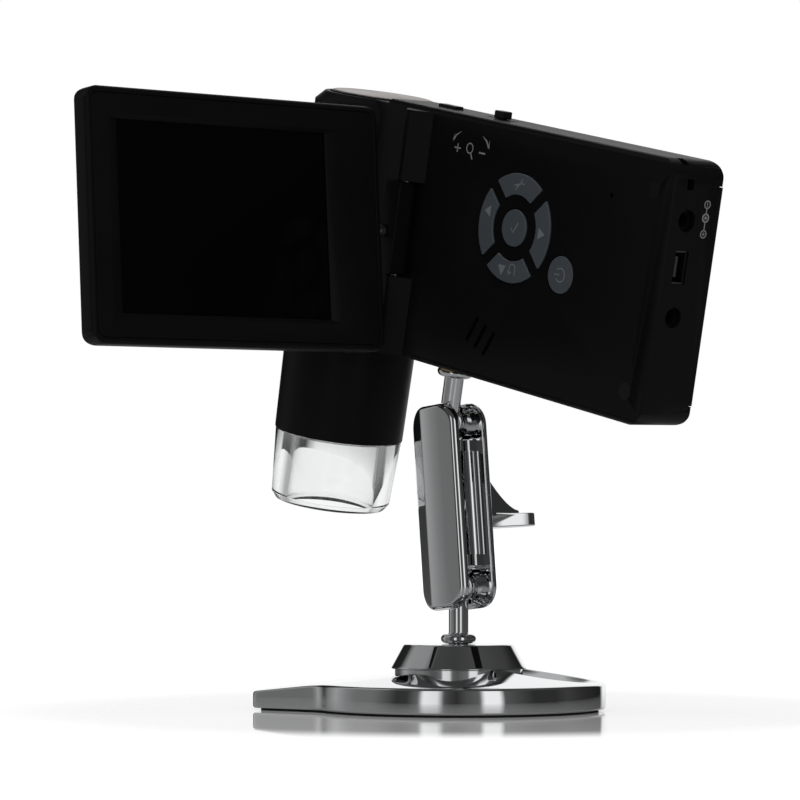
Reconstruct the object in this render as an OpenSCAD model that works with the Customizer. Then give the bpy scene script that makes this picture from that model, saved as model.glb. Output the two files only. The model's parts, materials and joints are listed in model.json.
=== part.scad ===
// Handheld digital microscope with a swing-out screen, on a ball-jointed table stand.
// Millimetres. The origin is on the table under the stand's post, +Z is up and the
// base's pointed tongue lies along -X.

/* [Base] */
// Radius of the round base
base_r = 36.3; // [32:0.1:45]
// Height of the base's upright rim above the table
base_rim_z = 6.8; // [6:0.1:9]
// Thickness of the soft pad under the base
pad_h = 0.6; // [0.4:0.1:1.2]
// How far the pad is set in from the rim
pad_inset = 1.8; // [1:0.1:3]
// Distance from the post to the tongue's blunt end
tongue_reach = 50.2; // [46:0.1:60]
// Half width of the tongue at its blunt end
tongue_half = 8.4; // [6:0.1:12]
// Foot radius of the boss in the middle
boss_foot_r = 16.8; // [14:0.1:20]
// Foot height of the boss above the table
boss_foot_z = 10.3; // [9:0.1:12]
// Top radius of the boss
boss_top_r = 13.5; // [10:0.1:16]
// Top height of the boss above the table
boss_top_z = 16.4; // [14:0.1:20]

/* [Stand arm] */
// Radius of both ball studs' balls
ball_r = 4; // [3.5:0.1:4.2]
// Height of the lower ball above the table
ball_z = 30.4; // [29:0.1:34]
// Distance between the two balls
ball_gap = 40.8; // [36:0.1:50]
// Width of the two arm shells
arm_w = 17.5; // [16:0.1:20]
// Thickness of the closed arm, across both shells
arm_t = 12.4; // [12.2:0.1:14]
// Shaft radius of the studs
shaft_r = 2.45; // [2:0.05:2.6]
// Collar radius of the studs
collar_r = 4.4; // [4:0.1:6]
// Collar height of the studs
collar_h = 2.4; // [2:0.1:4]
// Lean of the arm away from upright, in degrees
arm_lean = 5.6; // [0:0.1:15]
// Lean of the microscope away from upright, in degrees
head_lean = 12.6; // [0:0.1:20]
// Lean of the microscope towards its own front, in degrees
head_roll = 0.5; // [0:0.1:3]
// Turn of the arm and microscope about the post, in degrees
head_turn = -41.7; // [-90:0.1:90]

/* [Microscope body] */
// Length from the tube's axis to the connector end
body_len = 124.3; // [120:0.1:130]
// Height of the body
body_h = 62.6; // [62:0.1:66]
// Front face, measured from the tube's axis
face_y = -10.4; // [-11:0.1:-10]
// Back face, measured from the tube's axis
back_y = 5; // [5:0.1:6]
// Wall thickness of the body shells
wall = 1.6; // [1.4:0.1:1.8]
// Corner radius at the connector end, seen from the front
corner_r = 6; // [4:0.1:8]
// Rounding of the long edges
edge_r = 1.5; // [1:0.1:2]
// Radius of the round end that carries the tube
tube_r = 17; // [16.8:0.1:18]
// Chamfer round the top of the round end
crown = 2.3; // [2:0.1:2.5]
// Length of the black tube below the body
tube_len = 26.2; // [25:0.1:32]
// Radius of the tube at its rim
tube_rim_r = 16.6; // [16.5:0.1:17]
// Length of the clear diffuser below the tube
diffuser_len = 18.3; // [16:0.1:24]
// Distance from the tube's axis to the stand's thread
stud_x = 46.7; // [46:0.1:48]
// Length from the upper ball to the body's underside
stud_reach = 14.1; // [13.5:0.1:18]

/* [Keys] */
// Centre of the key ring along the body
ring_x = 70.1; // [69:0.1:72]
// Centre of the key ring above the body's underside
ring_z = 38.3; // [37:0.1:39]
// Outer radius of the four arc keys
ring_r = 13.25; // [12.5:0.05:13.5]
// Inner radius of the four arc keys
ring_in = 8; // [7.5:0.1:8.5]
// Width of the bars between the arc keys
key_gap = 3; // [2.8:0.1:3.4]
// Radius of the round keys
round_key_r = 4.5; // [4:0.1:5]
// Power key along the body
power_x = 89.1; // [88.5:0.1:92]
// Power key above the body's underside
power_z = 30.1; // [28:0.1:32]

/* [Lid] */
// Angle of the open lid, in degrees
lid_open = 90.7; // [0:0.1:95]
// Tilt of the open lid about its own width, in degrees
lid_tilt = 15.9; // [0:0.1:20]
// Hinge axis along the body
hinge_x = 28.85; // [28:0.05:29.5]
// Gap between the hinge axis and the lid's near edge
lid_near = 6.4; // [6.3:0.05:6.6]
// Width of the lid
lid_w = 86.3; // [86:0.1:88]
// Height of the lid
lid_h = 61.1; // [60.5:0.1:62]
// Thickness of the lid
lid_t = 5.6; // [5.6:0.1:5.8]
// Visible width of the screen
screen_w = 61.06; // [60:0.01:62]
// Visible height of the screen
screen_h = 45.98; // [44:0.01:47]
// Bezel width beside the hinge
bezel_hinge = 14.5; // [14.2:0.01:15]
// Bezel height above the screen
bezel_top = 6; // [5.5:0.01:6.5]
// Width of the lid shell's rim round the bezel
lid_rim = 1.6; // [1.5:0.01:2]

/* [Hidden] */
$fn = 72;
hull_fn = 32;
eps = 0.01;
run_fit = 0.05;
key_fit = 0.25;
inner_y = face_y + wall;
part_y = -2.89;
stud_y = part_y;
hinge_y = face_y - 1.2;
lid_mid = body_h / 2 - 0.77;
swivel_y = -2;
lid_front = lid_t / 2;
bezel_back = lid_front - 1.3;
bevel_foot = lid_front - 0.9;
lid_floor = 1.4 - lid_front;
bezel_in = lid_near + lid_rim;
screen_u = bezel_in + bezel_hinge;
screen_top = lid_h / 2 - lid_rim - bezel_top;
tube_in = 15.4;
spigot_r = 14.9;
guide_r = 13.05;
carriage_r = 11;
screw_r = 2;
tube_drop = 1.1;
shell_face = 4;
cup_face = 2.6;
cup_r = 4.4;
arm_mid = ball_gap / 2;
arm_low_end = 5.6;
arm_high_end = 4.5;
arm_corner = 5.5;
clamp_r = 1.9;
board_front = -1.9;
board_back = -0.9;
jack_y = -5.3;
dc_z = 48.75;
usb_z = 37.9;
av_z = 26.2;
door_x = 60;
door_low = 5.3;
door_high = 57.1;
screw_spots = [[24, 9], [24, 52], [52, 22], [42, 52]];
block_low = 20.3;
block_high = 43.3;
lug_gap = 0.5;
pin_r = 1;
swivel_r = 0.95;

// ---- places: each assembly is drawn in its own axes and set on the one before ----

module in_arm() {
  translate([0, 0, ball_z]) rotate([0, 0, head_turn]) rotate([0, -arm_lean, 0]) children();
}

module in_stud() {
  in_arm() translate([0, 0, ball_gap]) rotate([head_roll, arm_lean + head_lean, 0]) children();
}

// tube axis along Z, body along +X, front face towards -Y, underside at Z = 0
module in_head() {
  in_stud() translate([-stud_x, -stud_y, stud_reach]) children();
}

// origin on the hinge axis, X along the closed lid
module in_hinge() {
  in_head() translate([hinge_x, hinge_y, 0]) rotate([0, 0, -lid_open]) children();
}

// origin on the swivel axis, X along the lid's width, +Y out of the screen
module in_lid() {
  in_hinge() translate([0, swivel_y, lid_mid]) rotate([lid_tilt, 0, 0]) children();
}

// ---- shapes shared by several pieces ----

module box(low, high) {
  translate(low) cube(high - low);
}

module bar_x(r, from, to) {
  translate([from, 0, 0]) rotate([0, 90, 0]) cylinder(r = r, h = to - from);
}

module bar_y(r, from, to) {
  translate([0, from, 0]) rotate([-90, 0, 0]) cylinder(r = r, h = to - from);
}

// a flat outline given in X and Z, made thick along Y
module thick_y(from, to) {
  translate([0, to, 0]) rotate([90, 0, 0]) linear_extrude(to - from) children();
}

// a flat outline given in Y and Z, made long along X
module long_x(from, to) {
  translate([from, 0, 0]) rotate([90, 0, 90]) linear_extrude(to - from) children();
}

module round_box(low, high, r) {
  translate([low.x + r, low.y]) square([high.x - low.x - 2 * r, high.y - low.y]);
  translate([low.x, low.y + r]) square([high.x - low.x, high.y - low.y - 2 * r]);
  for (x = [low.x + r, high.x - r], y = [low.y + r, high.y - r])
    translate([x, y]) circle(r);
}

// ---- stand ----

// tongue seen from above, pulled in by d
module tongue_outline(d) {
  root = [-26, 20.2 - d];
  tip = [-tongue_reach + d, tongue_half - d];
  polygon([tip, root, [root.x, -root.y], [tip.x, -tip.y]]);
}

// disc and tongue together, pulled in by d
module base_form(d, height) {
  linear_extrude(height) circle(base_r - d);
  linear_extrude(height) tongue_outline(d);
}

module base_plate() {
  tongue_drop = 2.1;
  slope = atan(tongue_drop / (tongue_reach - base_r + 4));
  dish_ball = 48;
  dish_at = 24.5;
  dish_floor = 4.6;
  color([0.62, 0.63, 0.64])
  difference() {
    union() {
      translate([0, 0, pad_h]) base_form(0, base_rim_z - pad_h);
      translate([0, 0, base_rim_z]) cylinder(r1 = base_r, r2 = boss_foot_r, h = boss_foot_z - base_rim_z);
    }
    translate([-base_r + 4, -30, base_rim_z])
      rotate([0, -slope, 0])
      translate([-40, 0, 0]) cube([40, 60, 8]);
    for (turn = [0, 90, 270]) rotate([0, 0, turn])
      translate([dish_at, 0, dish_floor + dish_ball]) sphere(dish_ball);
    translate([0, 0, -eps]) cylinder(r = 6.4, h = 4.6);
    cylinder(r = shaft_r + run_fit, h = 20);
    translate([0, 0, boss_foot_z - 2]) cylinder(r = boss_foot_r - 1, h = 3);
  }
}

module base_boss() {
  color([0.5, 0.51, 0.52])
  difference() {
    union() {
      translate([0, 0, boss_foot_z]) cylinder(r1 = boss_foot_r, r2 = boss_top_r, h = boss_top_z - boss_foot_z);
      translate([0, 0, boss_foot_z - 2]) cylinder(r = boss_foot_r - 1, h = 2 + eps);
    }
    cylinder(r = shaft_r + run_fit, h = 20);
  }
}

module base_pad() {
  color([0.06, 0.06, 0.06]) base_form(pad_inset, pad_h);
}

module stud_nut() {
  color([0.6, 0.6, 0.6])
  difference() {
    translate([0, 0, 1.4]) cylinder(r = 5.2, h = 3, $fn = 6);
    cylinder(r = shaft_r, h = 6);
  }
}

module lower_stud() {
  below = boss_top_z + 0.05;
  color([0.66, 0.67, 0.68]) {
    translate([0, 0, ball_z]) sphere(ball_r);
    translate([0, 0, 1]) cylinder(r = shaft_r, h = ball_z - 1);
    translate([0, 0, below]) collar();
  }
}

// ring with rounded rim, standing on Z = 0
module collar() {
  rotate_extrude() {
    square([collar_r - collar_h / 2, collar_h]);
    translate([collar_r - collar_h / 2, collar_h / 2]) circle(collar_h / 2);
  }
}

module upper_stud() {
  thread_r = 3;
  color([0.66, 0.67, 0.68]) in_stud() {
    sphere(ball_r);
    cylinder(r = shaft_r, h = stud_reach - 1);
    translate([0, 0, stud_reach - collar_h - 0.05]) collar();
    translate([0, 0, stud_reach - 1]) cylinder(r = thread_r, h = 6.5);
  }
}

// one domed shell of the arm with rounded corners, its crown towards -Y
module arm_dome() {
  half = arm_t / 2;
  end_x = arm_w / 2;
  side = [[end_x, shell_face], for (a = [0:18:90]) [end_x - 3.2 * (1 - cos(a)), half - 2 * (1 - sin(a))]];
  flat_x = end_x - arm_corner;
  low = arm_corner - arm_low_end;
  high = ball_gap + arm_high_end - arm_corner;
  for (c = [[1, high, 0], [-1, high, 90], [-1, low, 180], [1, low, 270]])
    translate([c[0] * flat_x, 0, c[1]]) rotate([90, 0, 0]) rotate([0, 0, c[2]])
      rotate_extrude(angle = 90)
        polygon([[0, shell_face], for (p = side) [p.x - flat_x, p.y], [0, half]]);
  for (end = [[low, -1], [high, 1]])
    long_x(-flat_x, flat_x)
      polygon([[-shell_face, end[0]], for (p = side) [-p.y, end[0] + end[1] * (p.x - flat_x)], [-half, end[0]]]);
  translate([0, 0, low]) linear_extrude(high - low)
    polygon([for (p = side) [p.x, -p.y], for (k = [len(side) - 1:-1:0]) [-side[k].x, -side[k].y]]);
}

// webs, ribs, screw boss and the two ball cups inside a shell
module arm_core() {
  web_w = 5.6;
  web_t = 2.7;
  rib = 1.2;
  first = 4.9;
  last = ball_gap - first;
  reach = 0.2;
  root = -shell_face - eps;
  for (z = [first, last - web_t])
    box([-web_w, root, z], [web_w, -reach, z + web_t]);
  for (x = [-web_w + 0.6, web_w - rib - 0.6])
    box([x, root, first + eps], [x + rib, -reach - 0.5, last - eps]);
  translate([0, 0, arm_mid]) bar_y(4, root, -reach);
  for (z = [0, ball_gap]) translate([0, 0, z]) bar_y(cup_r, root, -cup_face);
}

module arm_front_shell() {
  color([0.7, 0.71, 0.72]) in_arm() difference() {
    union() {
      arm_dome();
      arm_core();
    }
    for (z = [0, ball_gap]) translate([0, 0, z]) sphere(ball_r + run_fit);
    translate([0, 0, arm_mid]) bar_y(clamp_r, -4.4, 0);
  }
}

module arm_rear_shell() {
  color([0.6, 0.61, 0.62]) in_arm() difference() {
    mirror([0, 1, 0]) {
      arm_dome();
      arm_core();
    }
    for (z = [0, ball_gap]) translate([0, 0, z]) sphere(ball_r + run_fit);
    translate([0, 0, arm_mid]) bar_y(clamp_r + run_fit, 0, 8);
  }
}

module clamp_screw() {
  color([0.55, 0.55, 0.56]) in_arm() translate([0, 0, arm_mid]) bar_y(clamp_r, -4.4, arm_t / 2 + 3.6);
}

// hub on the clamp screw, a flat finger tab under it and a hollow-backed fin
module wing_lever() {
  start = arm_t / 2 + 0.1;
  tab_low = -5.9;
  tab_high = -2.7;
  reach = 12;
  fin_len = 11;
  fin_foot = -1.8;
  fin_rise = 10.4;
  fin = [
    [start, tab_high - 0.3],
    [start, fin_foot + fin_rise],
    for (s = [0:0.125:1]) [start + 0.6 + fin_len * s, fin_foot + fin_rise * pow(1 - s, 1.6)],
    [start + 0.6 + fin_len, tab_high - 0.3]
  ];
  color([0.58, 0.59, 0.6]) in_arm() translate([0, 0, arm_mid]) difference() {
    union() {
      bar_y(4, start, start + 3.6);
      translate([0, 0, tab_low]) linear_extrude(tab_high - tab_low) hull() {
        translate([0, start + 3.4]) circle(3.2, $fn = hull_fn);
        translate([5.6, start + reach]) circle(2.4, $fn = hull_fn);
      }
      long_x(2.2, 4) polygon(fin);
    }
    bar_y(clamp_r + run_fit, start - 1, start + 5);
  }
}

// ---- microscope body ----

// slab and round end together, pulled in by d on every side
module body_form(d) {
  slab_r = edge_r - d / 2;
  top = body_h - d;
  round_top = top - tube_drop;
  step_x = 16;
  difference() {
    intersection() {
      translate([0, 0, d]) linear_extrude(top - d)
        round_box([-4, face_y + d], [body_len - d, back_y - d], slab_r * 0.8);
      thick_y(face_y - 1, back_y + 1) round_box([-8, d], [body_len - d, top], corner_r - d);
      long_x(-9, body_len + 1) round_box([face_y + d, d], [back_y - d, top], slab_r);
    }
    box([-10, face_y - 1, round_top], [step_x + d, back_y + 1, top + 1]);
  }
  rotate_extrude() polygon([
    [0, d], [tube_r - d, d], [tube_r - d, round_top - crown], [tube_r - d - crown, round_top], [0, round_top]
  ]);
}

// the walls that both shells share, with the openings that cross the parting line
module body_walls() {
  difference() {
    body_form(0);
    body_form(wall);
    translate([0, 0, -1]) cylinder(r = spigot_r, h = wall + 2);
    translate([0, 0, body_h - 4]) cylinder(r = 13.6, h = 6);
    translate([stud_x, stud_y, -1]) cylinder(r = 5, h = wall + 2);
    box([27.9, part_y - 1.6, body_h - 3], [35.1, part_y + 1.6, body_h + 1]);
    box([46, part_y - 0.7, body_h - 3], [57.6, part_y + 0.7, body_h + 1]);
  }
}

// outline of one arc key, middle at 90 degrees, grown by g
module arc_outline(g) {
  intersection() {
    difference() {
      circle(ring_r + g);
      circle(ring_in - g);
    }
    shift = (key_gap / 2 - g) * sqrt(2);
    polygon([[0, shift], [30, 30 + shift], [-30, 30 + shift]]);
  }
}

module key_holes(g, from, to) {
  translate([ring_x, 0, ring_z]) {
    for (turn = [0:90:270]) thick_y(from, to) rotate(turn) arc_outline(g);
    bar_y(round_key_r + g, from, to);
  }
  translate([power_x, 0, power_z]) bar_y(round_key_r + g, from, to);
}

// knuckle section seen from above, hinge axis at the origin
module knuckle() {
  hull() {
    circle(2.3, $fn = hull_fn);
    translate([1.7, -2.5]) circle(1.4, $fn = hull_fn);
    translate([-2.2, 1.1]) circle(0.1, $fn = hull_fn);
    translate([5.6, 1.1]) circle(0.1, $fn = hull_fn);
  }
}

module speaker_slots() {
  for (k = [-1:1]) translate([63.2 + 3.4 * k, 0, 10.6 - 1.2 * k])
    thick_y(face_y - 1, inner_y + 1) rotate(62) round_box([-3.6, -0.6], [3.6, 0.6], 0.59);
}

module plug_marks(g, from, to) {
  translate([117.6, 0, 54.7]) thick_y(from, to) round_box([-1.7 - g, -1.7 - g], [1.7 + g, 1.7 + g], 0.5);
  translate([117, 0, 7.6]) bar_y(2 + g, from, to);
}

module front_shell() {
  pocket_z = [block_low - lug_gap, block_high + lug_gap];
  color([0.07, 0.07, 0.07]) in_head() difference() {
    union() {
      intersection() {
        body_walls();
        box([-20, -20, -1], [body_len + 1, part_y, body_h + 1]);
      }
      box([25, face_y + 1.5, pocket_z[0] - 2], [35, face_y + 2.7, pocket_z[1] + 2]);
      translate([hinge_x, hinge_y, 0.4]) linear_extrude(pocket_z[0] - 0.4) knuckle();
      translate([hinge_x, hinge_y, pocket_z[1]]) linear_extrude(body_h - 1.2 - pocket_z[1]) knuckle();
      for (s = screw_spots) translate([s.x, 0, s.y]) bar_y(2.2, inner_y - eps, part_y);
    }
    box([hinge_x - 2.7, face_y - 1, pocket_z[0]], [hinge_x + 4.7, face_y + 1.4, pocket_z[1]]);
    for (z = [pocket_z[0] - 6.5, pocket_z[1] - 1]) translate([hinge_x, hinge_y, z]) cylinder(r = pin_r, h = 7.5);
    key_holes(key_fit, face_y - 1, inner_y + 1);
    translate([ring_x, face_y, ring_z]) rotate([-90, 0, 0]) translate([0, 0, -eps]) cylinder(r1 = 16.5, r2 = 15.4, h = 0.35);
    speaker_slots();
    plug_marks(0, face_y - 1, face_y + 0.6);
    translate([103.2, 0, 51.35]) bar_y(0.6, face_y - 1, inner_y + 1);
    for (s = screw_spots) translate([s.x, 0, s.y]) bar_y(0.9, inner_y + 0.4, part_y + 1);
    translate([0, jack_y, dc_z]) bar_x(2.6, body_len - 3, body_len + 1);
    translate([0, jack_y, av_z]) bar_x(2.4, body_len - 3, body_len + 1);
    box([body_len - 3, jack_y - 2, usb_z - 3.9], [body_len + 1, jack_y + 2, usb_z + 3.9]);
    box([body_len - 3, -6.6, 55.9], [body_len + 1, -4.6, 58.3]);
    box([body_len - 5.2, -6.6, body_h - 3.4], [body_len - 2.4, -4.6, body_h + 1]);
    box([79.5, -4.7, -1], [92.5, -3.1, wall + 1]);
  }
}

module rear_shell() {
  groove = 1;
  color([0.08, 0.08, 0.08]) in_head() difference() {
    union() {
      intersection() {
        body_walls();
        box([-20, part_y, -1], [body_len + 1, 20, body_h + 1]);
      }
      for (s = screw_spots) translate([s.x, 0, s.y]) bar_y(2.6, part_y, back_y - 1);
      difference() {
        box([door_x - 2, 2.3, door_low - 3], [body_len - wall, back_y - 1, door_high + 3]);
        box([door_x + 2, 0, door_low + 3], [body_len, back_y, door_high - 3]);
      }
    }
    box([door_x, back_y - 1.6, door_low], [body_len + 1, back_y + 1, door_high]);
    box([98, back_y - 1.45, door_low - groove], [body_len + 1, back_y - 0.6, door_high + groove]);
    for (s = screw_spots) translate([s.x, 0, s.y]) {
      bar_y(1.1, part_y - 1, back_y + 1);
      bar_y(2.1, back_y - 1.6, back_y + 1);
    }
  }
}

module battery_door() {
  tongue = 0.8;
  color([0.08, 0.08, 0.08]) in_head() {
    box([door_x + 0.2, back_y - 1.5, door_low + 0.2], [body_len - 0.5, back_y, door_high - 0.2]);
    box([99, back_y - 1.4, door_low - tongue], [111, back_y - 0.7, door_high + tongue]);
  }
}

module battery() {
  color([0.3, 0.36, 0.5]) in_head()
    thick_y(board_back + 0.2, 3.2) round_box([door_x + 3, 9], [body_len - 6, 53], 1.2);
}

module main_board() {
  color([0.06, 0.3, 0.16]) in_head()
    box([57, board_front, 3], [body_len - 4, board_back, 55.5]);
}

module key_centres() {
  for (turn = [0:90:270]) translate([ring_x, 0, ring_z]) rotate([0, turn, 0]) translate([0, 0, 10.6]) children();
  translate([ring_x, 0, ring_z]) children();
  translate([power_x, 0, power_z]) children();
}

module dome_switches() {
  color([0.75, 0.76, 0.78]) in_head() key_centres() bar_y(2, board_front - 0.6, board_front);
}

module key_mat() {
  color([0.3, 0.31, 0.33]) in_head() {
    box([54.5, -7, 23], [95.5, -6.2, 53.8]);
    key_centres() bar_y(1.6, -6.3, board_front - 0.75);
  }
}

// a key: cap in its hole and a flange behind the wall
module arc_key(turn) {
  color([0.29, 0.31, 0.34]) in_head() translate([ring_x, 0, ring_z]) {
    thick_y(face_y, -7.7) rotate(turn) arc_outline(0);
    thick_y(-8.7, -7.7) rotate(turn) arc_outline(0.8);
  }
}

module round_key(x, z, flange) {
  color([0.29, 0.31, 0.34]) in_head() translate([x, 0, z]) {
    bar_y(round_key_r, face_y, -7.7);
    bar_y(round_key_r + flange, -8.7, -7.7);
  }
}

module key_up() { arc_key(0); }

module key_left() { arc_key(90); }

module key_down() { arc_key(180); }

module key_right() { arc_key(270); }

module key_ok() { round_key(ring_x, ring_z, 0.8); }

module key_power() { round_key(power_x, power_z, 1); }

module speaker() {
  color([0.2, 0.2, 0.2]) in_head() translate([63.2, 0, 10.6]) {
    bar_y(7, -8.7, -6.9);
    bar_y(5, -6.9, -4.7);
  }
}

module microphone() {
  color([0.5, 0.5, 0.5]) in_head() translate([103.2, 0, 51.35]) bar_y(2.2, -8.7, -6.6);
}

module dc_jack() {
  color([0.1, 0.1, 0.1]) in_head() {
    difference() {
      box([110, jack_y - 3.2, dc_z - 3.5], [body_len - wall - 0.1, board_front, dc_z + 3.5]);
      translate([0, jack_y, dc_z]) bar_x(1.75, 112, body_len);
    }
    translate([0, jack_y, dc_z]) bar_x(0.6, 112 - eps, 120);
  }
}

module usb_socket() {
  out = body_len - 0.6;
  color([0.7, 0.7, 0.72]) in_head() {
    difference() {
      box([out - 9, jack_y - 1.95, usb_z - 3.85], [out, jack_y + 1.95, usb_z + 3.85]);
      box([out - 7, jack_y - 1.6, usb_z - 3.5], [out + 1, jack_y + 1.6, usb_z + 3.5]);
    }
    box([out - 7 - eps, jack_y - 0.4, usb_z - 2.4], [out - 1, jack_y + 0.4, usb_z + 2.4]);
    box([out - 9, jack_y + 1.95 - eps, usb_z - 2.5], [out - 3, board_front, usb_z + 2.5]);
  }
}

module av_jack() {
  color([0.1, 0.1, 0.1]) in_head() difference() {
    box([109, jack_y - 3.2, av_z - 3.2], [body_len - wall - 0.1, board_front, av_z + 3.2]);
    translate([0, jack_y, av_z]) bar_x(1.75, 110.5, body_len);
  }
}

module card_socket() {
  color([0.65, 0.65, 0.67]) in_head() difference() {
    box([79, -4.9, 3.1], [93, board_front - 0.1, 18]);
    box([80, -4.5, 3], [92, -3.3, 16.5]);
  }
}

module control_board() {
  color([0.06, 0.3, 0.16]) in_head() {
    box([27, -6.6, 56.4], [59, 0.8, 57.2]);
    translate([31.5, part_y, 57.2 - eps]) cylinder(r = 1.6, h = 1.2);
  }
}

module snapshot_button() {
  color([0.06, 0.06, 0.06]) in_head() {
    box([28.1, part_y - 1.4, 60.2], [34.9, part_y + 1.4, body_h + 0.8]);
    box([27.3, part_y - 2.2, 59.2], [35.7, part_y + 2.2, 60.3]);
  }
}

module slider_knob() {
  color([0.05, 0.05, 0.05]) in_head() {
    box([50, part_y - 1.45, body_h + 0.1], [53.6, part_y + 1.45, body_h + 2]);
    box([51, part_y - 0.5, 59.6], [52.6, part_y + 0.5, body_h + 0.2]);
    box([48.5, part_y - 2, 59.4], [55.1, part_y + 2, 60.4]);
  }
}

module screw_plugs() {
  color([0.05, 0.05, 0.05]) in_head() plug_marks(0, face_y, face_y + 0.6);
}

module body_screws() {
  color([0.45, 0.45, 0.46]) in_head() for (s = screw_spots) translate([s.x, 0, s.y]) {
    bar_y(0.9, inner_y + 0.4, back_y - 0.6);
    bar_y(2, back_y - 1.6, back_y - 0.4);
  }
}

module tripod_insert() {
  color([0.75, 0.6, 0.3]) in_head() translate([stud_x, stud_y, 0]) difference() {
    union() {
      cylinder(r = 5, h = 7.5);
      translate([0, 0, wall]) cylinder(r = 5.8, h = 2);
    }
    translate([0, 0, -1]) cylinder(r = 3 + run_fit, h = 8);
  }
}

// ---- optics ----

module focus_wheel() {
  rim_r = 13.3;
  flange_r = 14.2;
  flange_z = [57.4, 58.4];
  top = body_h - 0.5;
  color([0.45, 0.42, 0.4]) in_head() difference() {
    rotate_extrude() polygon([
      [0, flange_z[0]], [flange_r, flange_z[0]], [flange_r, flange_z[1]], [rim_r, flange_z[1]],
      [rim_r, top - 0.5], [rim_r - 0.5, top], [0, top]
    ]);
    cylinder(r = screw_r, h = 60);
    translate([0, 0, 57]) difference() {
      cylinder(r = 11.8, h = top - 58.7);
      cylinder(r = 4.5, h = 5);
    }
  }
}

module focus_screw() {
  color([0.6, 0.6, 0.61]) in_head() translate([0, 0, 16]) cylinder(r = screw_r, h = 44);
}

module wheel_bearing() {
  color([0.15, 0.15, 0.15]) in_head() translate([0, 0, 50]) difference() {
    cylinder(r = tube_r - wall, h = 2);
    translate([0, 0, -1]) cylinder(r = screw_r + run_fit, h = 4);
    translate([11, -20, -1]) cube([10, 40, 4]);
  }
}

module guide_tube() {
  color([0.15, 0.15, 0.15]) in_head() difference() {
    translate([0, 0, -18.6]) cylinder(r = guide_r, h = 54);
    translate([0, 0, -20]) cylinder(r = carriage_r + run_fit, h = 60);
    box([10, -1.1, -20], [16, 1.1, 40]);
  }
}

module lens_carriage() {
  color([0.12, 0.12, 0.12]) in_head() {
    difference() {
      translate([0, 0, -12]) cylinder(r = carriage_r, h = 36);
      translate([0, 0, -9]) cylinder(r = 9.5, h = 30);
      translate([0, 0, -13]) cylinder(r = 6, h = 5);
      cylinder(r = screw_r + run_fit, h = 40);
    }
    box([10.7, -1, -12], [12.6, 1, 24]);
  }
}

module lens() {
  bulge = 22;
  color([0.7, 0.8, 0.85]) in_head() translate([0, 0, -10]) intersection() {
    cylinder(r = 6, h = 6, center = true);
    translate([0, 0, bulge - 2.2]) sphere(bulge);
    translate([0, 0, 2.2 - bulge]) sphere(bulge);
  }
}

module sensor_board() {
  color([0.06, 0.3, 0.16]) in_head() {
    translate([0, 0, 9]) cylinder(r = 9.5, h = 1.2);
    box([-4, -4, 7.6], [4, 4, 9 + eps]);
  }
}

module led_board() {
  color([0.9, 0.9, 0.88]) in_head() translate([0, 0, -21]) difference() {
    cylinder(r = tube_in, h = 1.2);
    translate([0, 0, -1]) cylinder(r = 7.5, h = 4);
  }
}

module leds() {
  color([0.95, 0.95, 0.8]) in_head() for (turn = [0:45:315])
    rotate([0, 0, turn]) translate([11.2, 0, -23.4]) cylinder(r = 1.5, h = 2.4);
}

module lens_tube() {
  shadow = 0.3;
  color([0.07, 0.07, 0.07]) in_head() difference() {
    union() {
      translate([0, 0, -tube_len]) cylinder(r1 = tube_rim_r, r2 = tube_r - 0.05, h = tube_len - shadow);
      cylinder(r = spigot_r, h = 6);
      translate([0, 0, -1]) cylinder(r = spigot_r, h = 2);
    }
    translate([0, 0, -tube_len - 1]) cylinder(r = tube_in, h = tube_len - 1.4);
    translate([0, 0, -4]) cylinder(r = guide_r, h = 20);
  }
}

module diffuser() {
  foot = -tube_len - diffuser_len;
  bore_r = 11.1;
  color([0.86, 0.9, 0.92, 0.4]) in_head() rotate_extrude() polygon([
    [bore_r, foot + 0.5],
    [bore_r + 0.5, foot],
    [14.2, foot],
    [15.4, foot + 1.6],
    [16.4, -tube_len],
    [tube_in, -tube_len],
    [tube_in, -tube_len + 2.2],
    [13, -tube_len + 2.2],
    [13, -tube_len],
    [bore_r, -tube_len - 1]
  ]);
}

// ---- hinge and lid ----

module hinge_pins() {
  color([0.6, 0.6, 0.61]) in_head() for (z = [block_low - lug_gap - 6.5, block_high - 5])
    translate([hinge_x, hinge_y, z]) cylinder(r = pin_r, h = 12);
}

module hinge_block() {
  block_r = 2.4;
  color([0.07, 0.07, 0.07]) in_hinge() difference() {
    translate([0, 0, block_low]) linear_extrude(block_high - block_low) {
      circle(block_r);
      translate([0, swivel_y - 1.4]) square([3.8, block_r - swivel_y + 1.4]);
    }
    for (z = [block_low - 1, block_high - 5.5])
      translate([0, 0, z]) cylinder(r = pin_r + run_fit, h = 6.5);
    translate([0, swivel_y, lid_mid]) bar_x(swivel_r + run_fit, -1.2, 5);
  }
}

module swivel_shaft() {
  color([0.65, 0.65, 0.66]) in_lid() {
    bar_x(swivel_r, -1.1, 15);
    bar_x(1.6, 4.2, 5.2);
  }
}

module shaft_bracket() {
  color([0.6, 0.6, 0.61]) in_lid() difference() {
    box([bezel_in + 0.1, lid_floor + 0.05, -6], [17, -lid_floor - 0.05, 6]);
    bar_x(swivel_r + run_fit, 0, 15.1);
  }
}

module lid_form() {
  far = lid_near + lid_w;
  half = lid_h / 2;
  edge = 1.1;
  intersection() {
    thick_y(-lid_front, lid_front) round_box([lid_near, -half], [far, half], 4);
    translate([0, 0, -half]) linear_extrude(lid_h) round_box([lid_near, -lid_front], [far, lid_front], edge);
    long_x(lid_near, far) round_box([-lid_front, -half], [lid_front, half], edge);
  }
}

module bezel_outline(d) {
  half = lid_h / 2 - lid_rim - d;
  round_box([bezel_in + d, -half], [lid_near + lid_w - lid_rim - d, half], 2.2 - d);
}

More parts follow.
